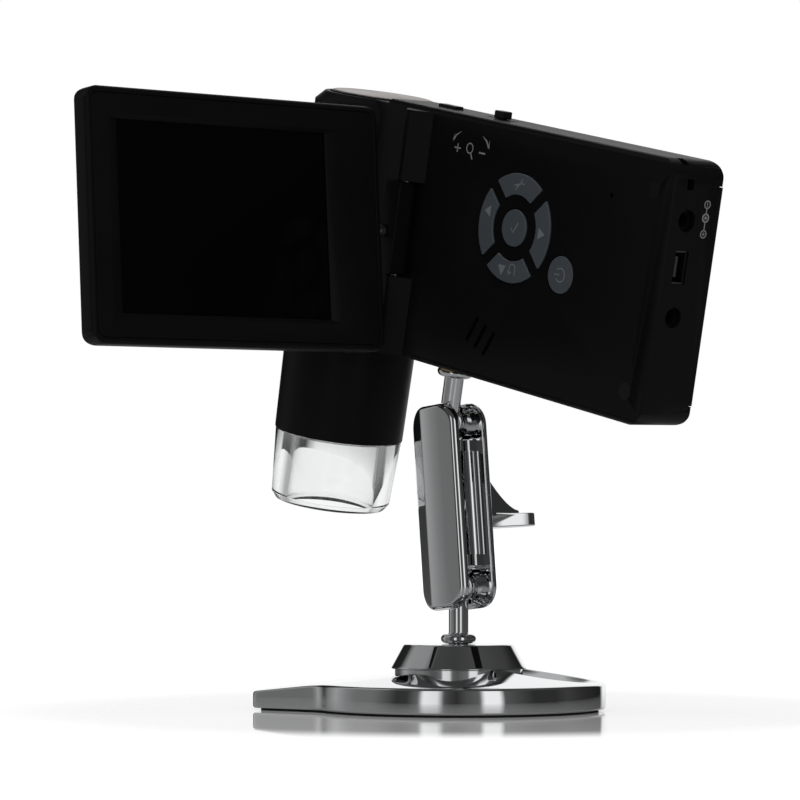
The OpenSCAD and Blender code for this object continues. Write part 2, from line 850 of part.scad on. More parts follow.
// screen opening, grown by g along the width and h along the height
module screen_outline(g, h) {
  translate([screen_u - g, screen_top - screen_h - h]) square([screen_w + 2 * g, screen_h + 2 * h]);
}

module lid_back() {
  color([0.07, 0.07, 0.07]) in_lid() difference() {
    lid_form();
    thick_y(lid_floor, lid_front + 1) bezel_outline(0);
    bar_x(swivel_r + 0.3, 0, bezel_in + 1);
  }
}

// the bezel's face slopes down to the screen all round
module lid_bezel() {
  side = 2.6;
  top = 1;
  color([0.06, 0.06, 0.06]) in_lid() difference() {
    thick_y(bezel_back, lid_front) bezel_outline(0.08);
    thick_y(bezel_back - 1, lid_front) screen_outline(0, 0);
    hull() {
      thick_y(bevel_foot, bevel_foot + eps) screen_outline(0, 0);
      thick_y(lid_front, lid_front + eps) screen_outline(side, top);
    }
  }
}

module lcd_window() {
  color([0.02, 0.02, 0.025]) in_lid() thick_y(bezel_back - 0.6, bezel_back) screen_outline(1.5, 1.5);
}

module lcd_panel() {
  color([0.15, 0.16, 0.17]) in_lid() thick_y(bezel_back - 2.8, bezel_back - 0.6) screen_outline(3, 3);
}

base_plate();
base_boss();
base_pad();
stud_nut();
lower_stud();
arm_front_shell();
arm_rear_shell();
clamp_screw();
wing_lever();
upper_stud();
tripod_insert();
front_shell();
rear_shell();
battery_door();
battery();
main_board();
dome_switches();
key_mat();
key_up();
key_right();
key_down();
key_left();
key_ok();
key_power();
speaker();
microphone();
dc_jack();
usb_socket();
av_jack();
card_socket();
control_board();
snapshot_button();
slider_knob();
screw_plugs();
body_screws();
focus_wheel();
focus_screw();
wheel_bearing();
guide_tube();
lens_carriage();
lens();
sensor_board();
led_board();
leds();
lens_tube();
diffuser();
hinge_pins();
hinge_block();
swivel_shaft();
shaft_bracket();
lid_back();
lid_bezel();
lcd_window();
lcd_panel();
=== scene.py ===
import json
import math
import bmesh
import bpy
import numpy as np
from mathutils import Matrix, Vector

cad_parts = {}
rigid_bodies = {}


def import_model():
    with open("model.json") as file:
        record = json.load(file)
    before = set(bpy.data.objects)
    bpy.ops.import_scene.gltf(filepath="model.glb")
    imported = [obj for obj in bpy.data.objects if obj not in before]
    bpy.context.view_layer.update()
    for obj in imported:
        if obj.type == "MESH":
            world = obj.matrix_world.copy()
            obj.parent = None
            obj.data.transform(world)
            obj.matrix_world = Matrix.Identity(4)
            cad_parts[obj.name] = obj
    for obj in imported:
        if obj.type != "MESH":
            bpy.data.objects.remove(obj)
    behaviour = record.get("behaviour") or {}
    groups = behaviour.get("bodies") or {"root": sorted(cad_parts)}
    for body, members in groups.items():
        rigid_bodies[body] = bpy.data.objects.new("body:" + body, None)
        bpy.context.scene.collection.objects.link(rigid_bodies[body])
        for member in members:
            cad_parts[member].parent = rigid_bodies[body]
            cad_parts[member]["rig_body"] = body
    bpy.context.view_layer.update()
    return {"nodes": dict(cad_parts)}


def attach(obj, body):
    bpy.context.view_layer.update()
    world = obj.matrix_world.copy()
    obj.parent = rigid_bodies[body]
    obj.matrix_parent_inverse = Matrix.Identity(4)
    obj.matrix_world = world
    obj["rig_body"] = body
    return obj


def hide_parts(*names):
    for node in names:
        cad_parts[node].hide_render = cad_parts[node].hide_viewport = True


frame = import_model()
scene = bpy.context.scene
scene.view_settings.view_transform = "Standard"


# ---- Camera --------------------------------------------------------------------
# A long lens at table height, nearly level, in front of the stand and a little to
# the right of it.
camera = bpy.data.objects.new("camera", bpy.data.cameras.new("camera"))
scene.collection.objects.link(camera)
camera.location = (0.13525, -0.89597, 0.04749)
look_turn = math.radians(9.5)
look_rise = math.radians(1.84)
look = Vector((-math.sin(look_turn) * math.cos(look_rise),
               math.cos(look_turn) * math.cos(look_rise), math.sin(look_rise)))
camera.rotation_mode = "QUATERNION"
camera.rotation_quaternion = look.to_track_quat("-Z", "Y")
SENSOR_WIDTH, FOCAL_RATIO = 36, 4.57875
camera.data.sensor_width = SENSOR_WIDTH
camera.data.lens = FOCAL_RATIO * SENSOR_WIDTH
camera.data.clip_start = 0.01
camera.data.clip_end = 20
scene.camera = camera


# ---- Studio --------------------------------------------------------------------
# A white sweep behind, a polished white sheet under the stand and soft lamps over
# the table. The rest of the room is dim, with a pale wall on the left and two narrow
# white screens in front, which the bright metal shows.
def add_node(tree, kind, inputs=None, **settings):
    """A shader node with its settings and inputs. What goes into an input is a number,
    a vector, a colour or another node's output."""
    node = tree.nodes.new("ShaderNode" + kind)
    for name, value in settings.items():
        setattr(node, name, value)
    for key, value in (inputs or {}).items():
        if isinstance(value, bpy.types.NodeSocket):
            tree.links.new(value, node.inputs[key])
        else:
            node.inputs[key].default_value = value
    return node


def grey(value):
    """A grey as a colour."""
    return (value, value, value, 1)


world = bpy.data.worlds.new("studio")
scene.world = world
world.cycles.sampling_method = "NONE"
world.use_nodes = True
room = world.node_tree
room.nodes.clear()
direction = add_node(room, "TexCoord")
axes = add_node(room, "SeparateXYZ", {0: direction.outputs["Generated"]})
bearing = add_node(room, "Math", {0: axes.outputs["X"], 1: axes.outputs["Y"]}, operation="ARCTAN2")
turn_share = add_node(room, "MapRange", {
    "Value": bearing.outputs[0], "From Min": -math.pi, "From Max": math.pi})


def room_ring(stops):
    """Brightness of the room by bearing, in degrees from straight behind, right is
    positive."""
    ring = add_node(room, "ValToRGB", {"Fac": turn_share.outputs["Result"]})
    points = ring.color_ramp.elements
    for k, (degrees, value) in enumerate(stops):
        point = points[k] if k < 2 else points.new((degrees + 180) / 360)
        point.position = (degrees + 180) / 360
        point.color = grey(value)
    return ring.outputs["Color"]


around_room = room_ring([
    (-180, 0.06), (180, 0.06), (-177, 0.1), (-172, 0.85), (-161, 0.95), (-157, 0.14), (-148, 0.04),
    (-139, 0.035), (-130, 0.09), (-118, 0.16), (-100, 0.17), (-90, 0.23), (-77, 0.36), (-66, 0.22),
    (-56, 0.02), (-26, 0.012), (-18, 1.0), (18, 1.0), (26, 0.012), (60, 0.03), (78, 0.05),
    (90, 0.03), (110, 0.03), (125, 0.07), (135, 0.1), (139.5, 1.0), (151, 1.0), (155, 0.12),
    (165, 0.08), (173, 0.03)])
overhead_room = room_ring([
    (-180, 0.05), (180, 0.05), (-130, 0.06), (-110, 0.28), (-70, 0.3), (-52, 0.02), (-22, 0.02),
    (-12, 0.5), (12, 0.5), (22, 0.02), (60, 0.05), (120, 0.07)])
height_share = add_node(room, "MapRange", {
    "Value": axes.outputs["Z"], "From Min": 0.4, "From Max": 0.6}, interpolation_type="SMOOTHSTEP")
mirrored = add_node(room, "Mix", {
    0: height_share.outputs["Result"], 6: around_room, 7: overhead_room}, data_type="RGBA")
depth = add_node(room, "Math", {0: axes.outputs["Y"]}, operation="ABSOLUTE")
through = add_node(room, "MapRange", {
    "Value": depth.outputs[0], "From Min": 0.5, "From Max": 0.85, "To Min": 0.4})
path = add_node(room, "LightPath")
shown = grey(0.55)
for kind, value in (("Is Glossy Ray", mirrored.outputs[2]),
                    ("Is Transmission Ray", through.outputs["Result"]),
                    ("Is Camera Ray", grey(1))):
    choice = add_node(room, "Mix", {0: path.outputs[kind], 6: shown, 7: value}, data_type="RGBA")
    shown = choice.outputs[2]
sky = add_node(room, "Background", {"Color": shown})
add_node(room, "OutputWorld", {"Surface": sky.outputs[0]})


def soft_lamp(name, place, target, size, power):
    """A square or long soft lamp at a place, turned towards a target."""
    lamp = bpy.data.lights.new(name, "AREA")
    lamp.shape = "RECTANGLE"
    lamp.size, lamp.size_y = size
    lamp.energy = power
    holder = bpy.data.objects.new(name, lamp)
    scene.collection.objects.link(holder)
    holder.location = place
    holder.rotation_mode = "QUATERNION"
    holder.rotation_quaternion = (Vector(target) - Vector(place)).to_track_quat("-Z", "Y")
    holder.visible_glossy = False
    holder.visible_transmission = False


soft_lamp("overhead", (-0.1, -0.1, 0.9), (0, 0, 0.05), (0.9, 0.7), 3.0)
soft_lamp("front_fill", (0.5, -1.0, 0.5), (0, 0, 0.08), (0.8, 0.8), 2.4)

floor_mesh = bpy.data.meshes.new("floor")
floor_mesh.from_pydata([(-6, -6, 0), (6, -6, 0), (6, 6, 0), (-6, 6, 0)], [], [(0, 1, 2, 3)])
floor = bpy.data.objects.new("floor", floor_mesh)
scene.collection.objects.link(floor)
white_sheet = bpy.data.materials.new("white_sheet")
white_sheet.use_nodes = True
sheet = white_sheet.node_tree
polished = sheet.nodes["Principled BSDF"]
polished.inputs["Roughness"].default_value = 0.03
path = add_node(sheet, "LightPath")
glossy = path.outputs["Is Glossy Ray"]
# Painted shade in reflections: where bright metal mirrors the sheet, its colour is painted a
# darker grey, 0.35 instead of 0.93.
reflected_floor_shade = add_node(sheet, "Mix", {0: glossy, 6: grey(0.93), 7: grey(0.35)}, data_type="RGBA")
sheet.links.new(reflected_floor_shade.outputs[2], polished.inputs["Base Color"])

# Away from the stand the sheet glows towards the eye, so that it goes over into the
# white sweep. Bright metal mirrors only the polished sheet.
spot = add_node(sheet, "TexCoord")
reach = add_node(sheet, "VectorMath", {0: spot.outputs["Object"]}, operation="LENGTH")
sweep = add_node(sheet, "MapRange", {
    "Value": reach.outputs["Value"], "From Min": 0.088, "From Max": 0.122},
    interpolation_type="SMOOTHSTEP")
unmirrored = add_node(sheet, "Math", {0: sweep.outputs["Result"], 1: glossy},
                      operation="SUBTRACT", use_clamp=True)
glow = add_node(sheet, "MapRange", {
    "Value": reach.outputs["Value"], "From Min": 0.2, "From Max": 2.0, "To Min": 0.6})
direct = add_node(sheet, "Math", {
    0: path.outputs["Is Camera Ray"], 1: path.outputs["Is Transmission Ray"]}, operation="MAXIMUM")
indirect = add_node(sheet, "Math", {0: glossy, 1: 0.2, 2: direct.outputs[0]},
                    operation="MULTIPLY_ADD")
lifted = add_node(sheet, "Math", {0: glow.outputs["Result"], 1: indirect.outputs[0]},
                  operation="MULTIPLY")
matt = add_node(sheet, "BsdfDiffuse", {"Color": grey(0.5)})
light = add_node(sheet, "Emission", {"Strength": lifted.outputs[0]})
far_sheet = add_node(sheet, "AddShader", {0: matt.outputs[0], 1: light.outputs[0]})
whole = add_node(sheet, "MixShader", {
    0: unmirrored.outputs[0], 1: polished.outputs[0], 2: far_sheet.outputs[0]})
sheet.links.new(whole.outputs[0], sheet.nodes["Material Output"].inputs["Surface"])
floor_mesh.materials.append(white_sheet)


# ---- Base plate ----------------------------------------------------------------
# A chromed zinc disc with a blunt tongue and three dished scoops round the post.
# It is cast in one piece and polished, and it stands on a thin rubber pad.
MM = 0.001


def surface(name, *grids, wrap_u=True, wrap_v=False, sharp=38):
    """A mesh through one or more grids of points in millimetres: u runs along the
    rows and v along the columns. Rows or columns are joined end to start where
    wrapped, and points that fall together become one."""
    points, faces, count = [], [], 0
    for grid in grids:
        grid = np.asarray(grid, float)
        rows, columns = grid.shape[:2]
        mark = count + np.arange(rows * columns).reshape(rows, columns)
        count += rows * columns
        if wrap_v:
            mark = np.vstack([mark, mark[:1]])
        if wrap_u:
            mark = np.hstack([mark, mark[:, :1]])
        points.append(grid.reshape(-1, 3))
        faces.append(np.stack([mark[:-1, :-1], mark[:-1, 1:], mark[1:, 1:], mark[1:, :-1]],
                              -1).reshape(-1, 4))
    mesh = bpy.data.meshes.new(name)
    mesh.from_pydata(np.vstack(points) * MM, [], np.vstack(faces).tolist())
    solid = bmesh.new()
    solid.from_mesh(mesh)
    bmesh.ops.remove_doubles(solid, verts=solid.verts, dist=2e-7)
    bmesh.ops.recalc_face_normals(solid, faces=solid.faces)
    solid.to_mesh(mesh)
    solid.free()
    mesh.shade_smooth()
    mesh.set_sharp_from_angle(angle=math.radians(sharp))
    piece = bpy.data.objects.new(name, mesh)
    scene.collection.objects.link(piece)
    return piece


def rounded(corners, steps=5):
    """A line through corners (x, y, radius), with an arc in place of each corner."""
    line = []
    for k, (x, y, radius) in enumerate(corners):
        here = np.array([x, y], float)
        if radius == 0:
            line.append(here)
            continue
        before = np.array(corners[k - 1][:2], float) - here
        after = np.array(corners[(k + 1) % len(corners)][:2], float) - here
        before /= np.linalg.norm(before)
        after /= np.linalg.norm(after)
        half = math.acos(np.clip(before @ after, -1, 1)) / 2
        reach_in = radius / math.tan(half)
        middle = here + (before + after) / np.linalg.norm(before + after) * radius / math.sin(half)
        start, end = here + before * reach_in - middle, here + after * reach_in - middle
        sweep = math.acos(np.clip(start @ end / radius ** 2, -1, 1))
        share = np.linspace(0, 1, steps)[:, None]
        line.extend(middle + (np.sin((1 - share) * sweep) * start
                              + np.sin(share * sweep) * end) / math.sin(sweep))
    return np.array(line)


def soft_min(a, b, blend):
    """The smaller of two values, blended over a width where they meet."""
    share = np.clip(0.5 + 0.5 * (b - a) / blend, 0, 1)
    return b * (1 - share) + a * share - blend * share * (1 - share)


def soft_max(a, b, blend):
    """The larger of two values, blended over a width where they meet."""
    return -soft_min(-a, -b, blend)


BASE_R, RIM_Z, TONGUE = 36.3, 6.8, 50.2
TONGUE_SIDE = 29.55
RIM_ROUND = 0.9
SEAT_R, SEAT_Z = 15.9, 8.3
DISH_AT, DISH_R, DISH_Z = 24.5, 26, 5.0
BASE_STEPS = 360
around = np.linspace(0, 2 * np.pi, BASE_STEPS, endpoint=False)
ray = np.stack([np.cos(around), np.sin(around)], -1)


def base_reach(ray):
    """Distance to the base's outline: disc, and tongue between two side lines and a
    blunt end, blended where they meet."""
    lean = np.array([-0.438, 0.899])
    upper = TONGUE_SIDE / np.maximum(ray @ lean, 1e-3)
    lower = TONGUE_SIDE / np.maximum(ray @ (lean * [1, -1]), 1e-3)
    blunt = TONGUE / np.maximum(-ray[:, 0], 1e-3)
    tongue = soft_min(soft_min(upper, lower, 0.4), blunt, 1.2)
    return np.where(ray[:, 0] < 0, soft_max(tongue, np.full(len(ray), BASE_R), 2.2), BASE_R)


def base_height(x, y):
    """Height of the base's top: a cone rising to the boss, a tongue that falls to its
    end, and three shallow balls taken out of it."""
    radius = np.hypot(x, y)
    top = RIM_Z + 3.5 * np.clip((BASE_R - radius) / (BASE_R - 16.8), 0, 1)
    fall = RIM_Z - 0.117 * (-32.3 - x)
    top = soft_min(top, fall, 0.5)
    for turn in (0, 90, 270):
        a = math.radians(turn)
        away = np.hypot(x - DISH_AT * math.cos(a), y - DISH_AT * math.sin(a))
        dish = DISH_Z + DISH_R - np.sqrt(np.maximum(DISH_R ** 2 - away ** 2, 0))
        top = soft_min(top, dish, 0.22)
    return top


outline = base_reach(ray)
inner = outline - RIM_ROUND
inner_z = base_height(*(ray * inner[:, None]).T)
rows = []
for inset, z in rounded([(0.4, 0.6, 0), (0, 1.0, 0.3), (0, 3.0, 0)], 4):
    rows.append(np.column_stack([ray * (outline - inset)[:, None], np.full(BASE_STEPS, z)]))
for turn_in in np.radians(90 * np.linspace(0, 1, 7)[1:]):
    inset = RIM_ROUND * (1 - math.cos(turn_in))
    spot_xy = ray * (outline - inset)[:, None]
    rows.append(np.column_stack([spot_xy, inner_z - RIM_ROUND * (1 - math.sin(turn_in))]))
for share in np.linspace(0, 1, 90)[1:]:
    spot_xy = ray * (inner * (1 - share) + SEAT_R * share)[:, None]
    rows.append(np.column_stack([spot_xy, base_height(*spot_xy.T)]))
for radius, z in [(SEAT_R, SEAT_Z), (2.5, SEAT_Z), (2.5, 4.6), (6.4, 4.6), (6.4, 0.6)]:
    rows.append(np.column_stack([ray * radius, np.full(BASE_STEPS, z)]))
base_plate = surface("base_plate_cast", rows, wrap_v=True)


def effect(name, inputs, outputs):
    """An empty shader node group with named inputs and outputs. An input without a
    value is a place."""
    group = bpy.data.node_groups.new(name, "ShaderNodeTree")
    for label, value in inputs.items():
        kind = "NodeSocketVector" if value is None else "NodeSocketFloat"
        socket = group.interface.new_socket(name=label, in_out="INPUT", socket_type=kind)
        if value is not None:
            socket.default_value = value
    for label in outputs:
        group.interface.new_socket(name=label, in_out="OUTPUT", socket_type="NodeSocketFloat")
    start, end = group.nodes.new("NodeGroupInput"), group.nodes.new("NodeGroupOutput")
    return group, start.outputs, end.inputs


# Faint marks of hands and cloths: a broad cloudy film and thin scratches, both from
# 0 to 1.
touch_marks, given, result = effect(
    "touch_marks", {"Vector": None, "Film scale": 60.0, "Scratch scale": 700.0},
    ["Film", "Scratches"])
cloud = add_node(touch_marks, "TexNoise", {
    "Vector": given["Vector"], "Scale": given["Film scale"], "Detail": 4})
film = add_node(touch_marks, "MapRange", {
    "Value": cloud.outputs["Fac"], "From Min": 0.35, "From Max": 0.75})
touch_marks.links.new(film.outputs["Result"], result["Film"])
warp = add_node(touch_marks, "TexNoise", {"Vector": given["Vector"], "Scale": 40})
stretch = add_node(touch_marks, "VectorMath", {
    0: given["Vector"], 1: (1.0, 0.12, 0.3), 2: warp.outputs["Color"]}, operation="MULTIPLY_ADD")
hair = add_node(touch_marks, "TexNoise", {
    "Vector": stretch.outputs[0], "Scale": given["Scratch scale"], "Detail": 2})
thin = add_node(touch_marks, "MapRange", {
    "Value": hair.outputs["Fac"], "From Min": 0.66, "From Max": 0.74})
touch_marks.links.new(thin.outputs["Result"], result["Scratches"])


def shaded(name, group):
    """A new material with its node tree, its main shader, and a group of effects
    placed on the object."""
    material = bpy.data.materials.new(name)
    material.use_nodes = True
    tree = material.node_tree
    place = add_node(tree, "TexCoord")
    effects = add_node(tree, "Group", node_tree=group)
    tree.links.new(place.outputs["Object"], effects.inputs["Vector"])
    return material, tree, tree.nodes["Principled BSDF"], effects


def plated(name, colour, roughness, film=0.05, scratch=0.05):
    """Plated or bare metal, its roughness raised a little by film and scratches."""
    material, tree, shader, marks = shaded(name, touch_marks)
    shader.inputs["Metallic"].default_value = 1.0
    shader.inputs["Base Color"].default_value = (*colour, 1)
    cloudy = add_node(tree, "Math", {0: marks.outputs["Film"], 1: film, 2: roughness},
                      operation="MULTIPLY_ADD")
    hairy = add_node(tree, "Math", {
        0: marks.outputs["Scratches"], 1: scratch, 2: cloudy.outputs[0]}, operation="MULTIPLY_ADD")
    tree.links.new(hairy.outputs[0], shader.inputs["Roughness"])
    return material


chrome = plated("chrome_plate", (0.8, 0.81, 0.82), 0.02, 0.03, 0.05)
base_plate.data.materials.append(chrome)
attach(base_plate, "base")
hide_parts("base_plate")


# ---- Pad -----------------------------------------------------------------------
# A thin black rubber sheet is glued under the base, set in from its rim so that only
# a dark line shows. It is the first of the moulded pieces, which share one fine
# grain: a height and a slow change of shade, both from 0 to 1.
moulded_grain, given, result = effect(
    "moulded_grain", {"Vector": None, "Grain scale": 3000.0, "Shade scale": 40.0},
    ["Height", "Shade"])
pits = add_node(moulded_grain, "TexNoise", {
    "Vector": given["Vector"], "Scale": given["Grain scale"], "Detail": 3, "Roughness": 0.6})
moulded_grain.links.new(pits.outputs["Fac"], result["Height"])
slow = add_node(moulded_grain, "TexNoise", {
    "Vector": given["Vector"], "Scale": given["Shade scale"], "Detail": 5})
moulded_grain.links.new(slow.outputs["Fac"], result["Shade"])
ROUGHNESS_DRIFT = 0.12


def moulded(name, colour, roughness, grain=3000, depth=6e-6, vary=0.25, specular=0.4):
    """Moulded plastic or rubber: fine grain as bump, and colour and roughness that
    drift a little over the piece."""
    material, tree, shader, grained = shaded(name, moulded_grain)
    shader.inputs["Specular IOR Level"].default_value = specular
    grained.inputs["Grain scale"].default_value = grain
    dark, pale = ((*[c * (1 + change) for c in colour], 1) for change in (-vary, vary))
    tint = add_node(tree, "Mix", {0: grained.outputs["Shade"], 6: dark, 7: pale}, data_type="RGBA")
    tree.links.new(tint.outputs[2], shader.inputs["Base Color"])
    drift = add_node(tree, "Math", {
        0: grained.outputs["Shade"], 1: ROUGHNESS_DRIFT, 2: roughness - ROUGHNESS_DRIFT / 2},
        operation="MULTIPLY_ADD")
    tree.links.new(drift.outputs[0], shader.inputs["Roughness"])
    bump = add_node(tree, "Bump", {"Distance": depth, "Height": grained.outputs["Height"]})
    tree.links.new(bump.outputs[0], shader.inputs["Normal"])
    return material


def dress(material, *names):
    """Gives the carried-over pieces a finish."""
    for name in names:
        mesh = frame["nodes"][name].data
        mesh.materials.clear()
        mesh.materials.append(material)


rubber = moulded("black_rubber", (0.02, 0.02, 0.02), 0.75, 1800, 1.5e-5)
dress(rubber, "base_pad")


# ---- Boss and lower post ---------------------------------------------------------
# A turned and chromed cone sits on the plate. The post turns in it: shaft, collar
# with a rounded rim, and ball, turned from one steel bar.
def revolve(name, profile, place=None, steps=96, **finish):
    """A profile (radius, height) carried round the upright axis, then set in place."""
    profile = np.asarray(profile, float)
    turn = np.linspace(0, 2 * np.pi, steps, endpoint=False)
    grid = np.stack([profile[:, :1] * np.cos(turn), profile[:, :1] * np.sin(turn),
                     np.repeat(profile[:, 1:], steps, 1)], -1)
    return surface(name, grid if place is None else place(grid), **finish)


boss = revolve("boss_turned", rounded([
    (15.8, 8.3, 0), (15.8, 10.3, 0), (16.8, 10.3, 0.25), (16.45, 11.0, 0.6), (13.5, 16.4, 0.7),
    (5.2, 16.4, 0.2), (4.6, 16.2, 0.2), (2.5, 16.2, 0), (2.5, 8.3, 0)]), steps=160, wrap_v=True)
boss.data.materials.append(chrome)
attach(boss, "base")
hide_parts("base_boss")


def ball(centre, radius, start, end, count=20):
    """Points down or up a ball's side, from one height to another."""
    lean = np.linspace(math.asin(np.clip((start - centre) / radius, -1, 1)),
                       math.asin(np.clip((end - centre) / radius, -1, 1)), count)
    return [(radius * math.cos(a), centre + radius * math.sin(a)) for a in lean]


def collar(low):
    """The rounded rim of a collar 2.4 high, from its foot up."""
    bulge = 1.2
    return [(3.2 + bulge * math.cos(a), low + bulge + bulge * math.sin(a))
            for a in np.linspace(-1.5, 1.5, 14)]


BALL_R, SHAFT_R, LOW_BALL_Z = 4, 2.45, 30.4
NECK = math.sqrt(BALL_R ** 2 - SHAFT_R ** 2)
lower_post = revolve("lower_post_turned", [
    (0, 1), (2.2, 1), (SHAFT_R, 1.25), (SHAFT_R, 16.5), *collar(16.45), (2.7, 18.85),
    (SHAFT_R, 19.1), (SHAFT_R, LOW_BALL_Z - NECK),
    *ball(LOW_BALL_Z, BALL_R, LOW_BALL_Z - NECK, LOW_BALL_Z + BALL_R), (0, LOW_BALL_Z + BALL_R)])
lower_post.data.materials.append(chrome)
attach(lower_post, "lower_post")
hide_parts("lower_stud")
steel = plated("bare_steel", (0.5, 0.5, 0.51), 0.3, 0.1, 0.1)
dress(steel, "stud_nut", "clamp_screw")


# ---- Arm -------------------------------------------------------------------------
# Two chromed shells clamp both balls, drawn together by one screw. Each is cast with
# a domed face, two cross webs and two ribs, and its edges are polished round.
def turned(axis, degrees):
    """The matrix that turns points about an axis."""
    return np.array(Matrix.Rotation(math.radians(degrees), 3, axis))


ARM_TURN = turned("Z", -41.7) @ turned("Y", -5.6)
LOW_BALL = np.array([0, 0, LOW_BALL_Z])


def in_arm(points):
    """From the arm's own axes, lower ball at the origin, to the stand's."""
    return np.asarray(points) @ ARM_TURN.T + LOW_BALL


SHARP_EDGE = math.radians(30)


def finished(node, edge, material, segments=2):
    """A merged copy of a rigid piece. Its sharp edges are broken to a small round of
    the given width in millimetres, or are left sharp where the width is 0."""
    mesh = frame["nodes"][node].data.copy()
    solid = bmesh.new()
    solid.from_mesh(mesh)
    bmesh.ops.remove_doubles(solid, verts=solid.verts, dist=3e-6)
    bmesh.ops.dissolve_degenerate(solid, dist=1e-6, edges=solid.edges)
    bmesh.ops.dissolve_limit(solid, angle_limit=math.radians(0.5), verts=solid.verts,
                             edges=solid.edges)
    solid.to_mesh(mesh)
    solid.free()
    mesh.materials.clear()
    mesh.materials.append(material)
    mesh.shade_smooth()
    mesh.set_sharp_from_angle(angle=SHARP_EDGE)
    piece = bpy.data.objects.new(node + "_finished", mesh)
    scene.collection.objects.link(piece)
    if edge:
        bevel = piece.modifiers.new("edge", "BEVEL")
        bevel.width = edge * MM
        bevel.segments = segments
        bevel.limit_method = "ANGLE"
        bevel.angle_limit = SHARP_EDGE
        bevel.use_clamp_overlap = False
        bevel.harden_normals = True
    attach(piece, frame["nodes"][node]["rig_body"])
    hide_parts(node)
    return piece


finished("wing_lever", 0.25, chrome)


FACE_HALF, FACE_LOW, FACE_HIGH, FACE_CORNER = 8.77, -5.6, 45.3, 5.5
FACE_STEPS, FACE_ROWS = 240, 24
SPINE_LOW, SPINE_HIGH = 3.15, 36.55
LIP_HEIGHT = 4.06
CORE_TOP = 4.4


def arm_face(name, node, side, crown, fall):
    """The polished outside of a shell, carried round a rectangle with round corners
    and ending on the line along its middle. The face falls from its crown across its
    width, and a quarter of an ellipse takes it down to the lip. The shell's own webs
    and ribs stay behind it, drawn in so that they don't show past the lip."""
    corners = rounded([
        (FACE_HALF, FACE_LOW, FACE_CORNER), (FACE_HALF, FACE_HIGH, FACE_CORNER),
        (-FACE_HALF, FACE_HIGH, FACE_CORNER), (-FACE_HALF, FACE_LOW, FACE_CORNER)], 14)
    loop = np.vstack([corners, corners[:1]])
    run = np.concatenate([[0], np.cumsum(np.linalg.norm(np.diff(loop, axis=0), axis=1))])
    at = np.linspace(0, run[-1], FACE_STEPS, endpoint=False)
    x, z = np.interp(at, run, loop[:, 0]), np.interp(at, run, loop[:, 1])
    spine = np.clip(z, SPINE_LOW, SPINE_HIGH)
    turn_in = np.linspace(math.pi / 2, 0, 12)
    inside_lip = [0, 0.9, 0.985, 1]
    share = np.concatenate([inside_lip, 0.86 + 0.14 * np.sin(turn_in),
                            np.linspace(0.84, 0, FACE_ROWS)])[:, None]
    rise = np.concatenate([np.cos(turn_in), np.ones(FACE_ROWS)])[:, None]
    height = LIP_HEIGHT + (crown - fall(x * share[len(inside_lip):]) - LIP_HEIGHT) * rise
    height = np.vstack([np.repeat([[crown - 1.2], [4.3], [4.0], [4.03]], FACE_STEPS, 1), height])
    grid = np.stack([x * share, side * height, spine + (z - spine) * share], -1)
    face = surface(name, in_arm(grid), sharp=50)
    face.data.materials.append(chrome)
    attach(face, frame["nodes"][node]["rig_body"])
    core = finished(node, 0, chrome)
    points = np.empty(len(core.data.vertices) * 3)
    core.data.vertices.foreach_get("co", points)
    local = (points.reshape(-1, 3) / MM - LOW_BALL) @ ARM_TURN
    middle = np.clip(local[:, 2], SPINE_LOW, SPINE_HIGH)
    away = np.hypot(local[:, 0], local[:, 2] - middle)
    outer = (np.abs(local[:, 1]) > 3.9) & (away > 5)
    pull = np.where(outer, (5 + (away - 5) * 0.8) / np.maximum(away, 1e-6), 1)
    local[:, 0] *= pull
    local[:, 2] = middle + (local[:, 2] - middle) * pull
    local[:, 1] = np.clip(local[:, 1], -CORE_TOP, CORE_TOP)
    core.data.vertices.foreach_set("co", (in_arm(local) * MM).ravel())


def front_fall(across):
    """A straight slope on the left, and a shallow bow from there on."""
    past = across + 3
    return np.where(past < 0, -0.34 * past, 0.0155 * past ** 2 - 0.11 * past)


arm_face("arm_front_face", "arm_front_shell", -1, 6.5, front_fall)
arm_face("arm_rear_face", "arm_rear_shell", 1, 6.27, lambda across: 0.009 * across ** 2)


# ---- Upper post ------------------------------------------------------------------
# The same ball, shaft and collar upside down, with a tripod thread that screws into
# a brass insert in the body's underside.
STUD_TURN = ARM_TURN @ turned("Y", 18.2) @ turned("X", 0.5)
HIGH_BALL = in_arm([0, 0, 40.8])


def in_stud(points):
    """From the upper post's axes, upper ball at the origin, to the stand's."""
    return np.asarray(points) @ STUD_TURN.T + HIGH_BALL


thread = [(3.0 - 0.3 * (k % 2), 13.4 + 0.32 * k) for k in range(3, 19)]
upper_post = revolve("upper_post_turned", [
    (0, -BALL_R), *ball(0, BALL_R, -BALL_R, NECK), (SHAFT_R, NECK), (SHAFT_R, 11.5),
    *collar(11.65), (2.6, 14.05), (2.6, 13.2), *thread, (0, 19.6)], in_stud)
upper_post.data.materials.append(chrome)
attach(upper_post, "upper_post")
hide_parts("upper_stud")
brass = plated("brass", (0.72, 0.52, 0.24), 0.28, 0.1, 0.1)
dress(brass, "tripod_insert")


# ---- Body shells -----------------------------------------------------------------
# Two moulded halves in satin black plastic, met on a line round the sides, and a
# sliding battery door in the back.
HEAD_TURN = STUD_TURN
HEAD_AT = in_stud([-46.7, 2.89, 14.1])


def in_head(points):
    """From the body's axes, tube axis at the origin, to the stand's."""
    return np.asarray(points) @ HEAD_TURN.T + HEAD_AT


body_black = moulded("satin_black", (0.0042, 0.0042, 0.0045), 0.42, 5200, 4e-6, 0.2, 0.12)
trim_black = moulded("trim_black", (0.0045, 0.0045, 0.005), 0.34, 5200, 3e-6, 0.2, 0.2)
for node in ("front_shell", "rear_shell", "battery_door"):
    finished(node, 0, body_black)
dress(trim_black, "screw_plugs", "speaker")
dress(steel, "body_screws", "microphone")
dress(plated("dull_steel", (0.16, 0.16, 0.17), 0.38, 0.1, 0.1), "usb_socket", "card_socket")
dress(trim_black, "dc_jack", "av_jack")


